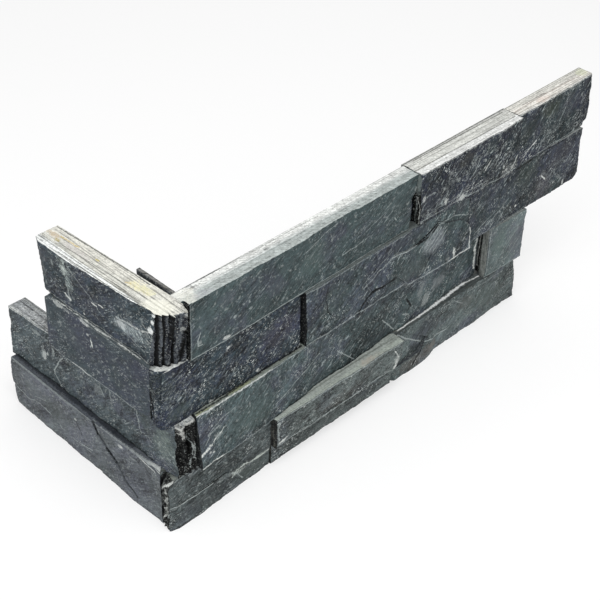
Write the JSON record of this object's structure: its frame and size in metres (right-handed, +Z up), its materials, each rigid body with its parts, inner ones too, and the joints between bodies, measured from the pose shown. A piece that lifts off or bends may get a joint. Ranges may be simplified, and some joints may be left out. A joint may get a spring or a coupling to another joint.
{
  "type": "ledge stone corner piece",
  "caption": "L-shaped corner piece of split slate ledge stone: staggered strips glued in courses, with interlocking broken ends, for cladding the outside corner of a wall",
  "frame": {"origin": "foot of the inner corner, where the wall faces of the two legs meet on the bed plane", "axes": "+X along the long leg, +Y along the short leg, +Z up through the courses; split faces look to -Y and -X"},
  "size_m": [0.366, 0.1548, 0.15],
  "materials": {
    "slate": "natural split slate, charcoal with green and violet tints; sawn beds are pale grey",
    "backing_slate": "thin grey laminated slate slips, sawn edges"
  },
  "bodies": {
    "root": {"long_top_left_strip": "slate", "long_top_middle_strip": "slate", "long_top_right_strip": "slate", "long_upper_left_strip": "slate", "long_upper_middle_strip": "slate", "long_upper_right_strip": "slate", "long_lower_left_strip": "slate", "long_lower_right_strip": "slate", "long_bottom_left_strip": "slate", "long_bottom_middle_strip": "slate", "long_bottom_right_strip": "slate", "short_top_strip": "slate", "short_upper_strip": "slate", "short_lower_strip": "slate", "short_bottom_strip": "slate", "short_backing_slip": "backing_slate", "long_backing_slip": "backing_slate"}
  },
  "joints": []
}
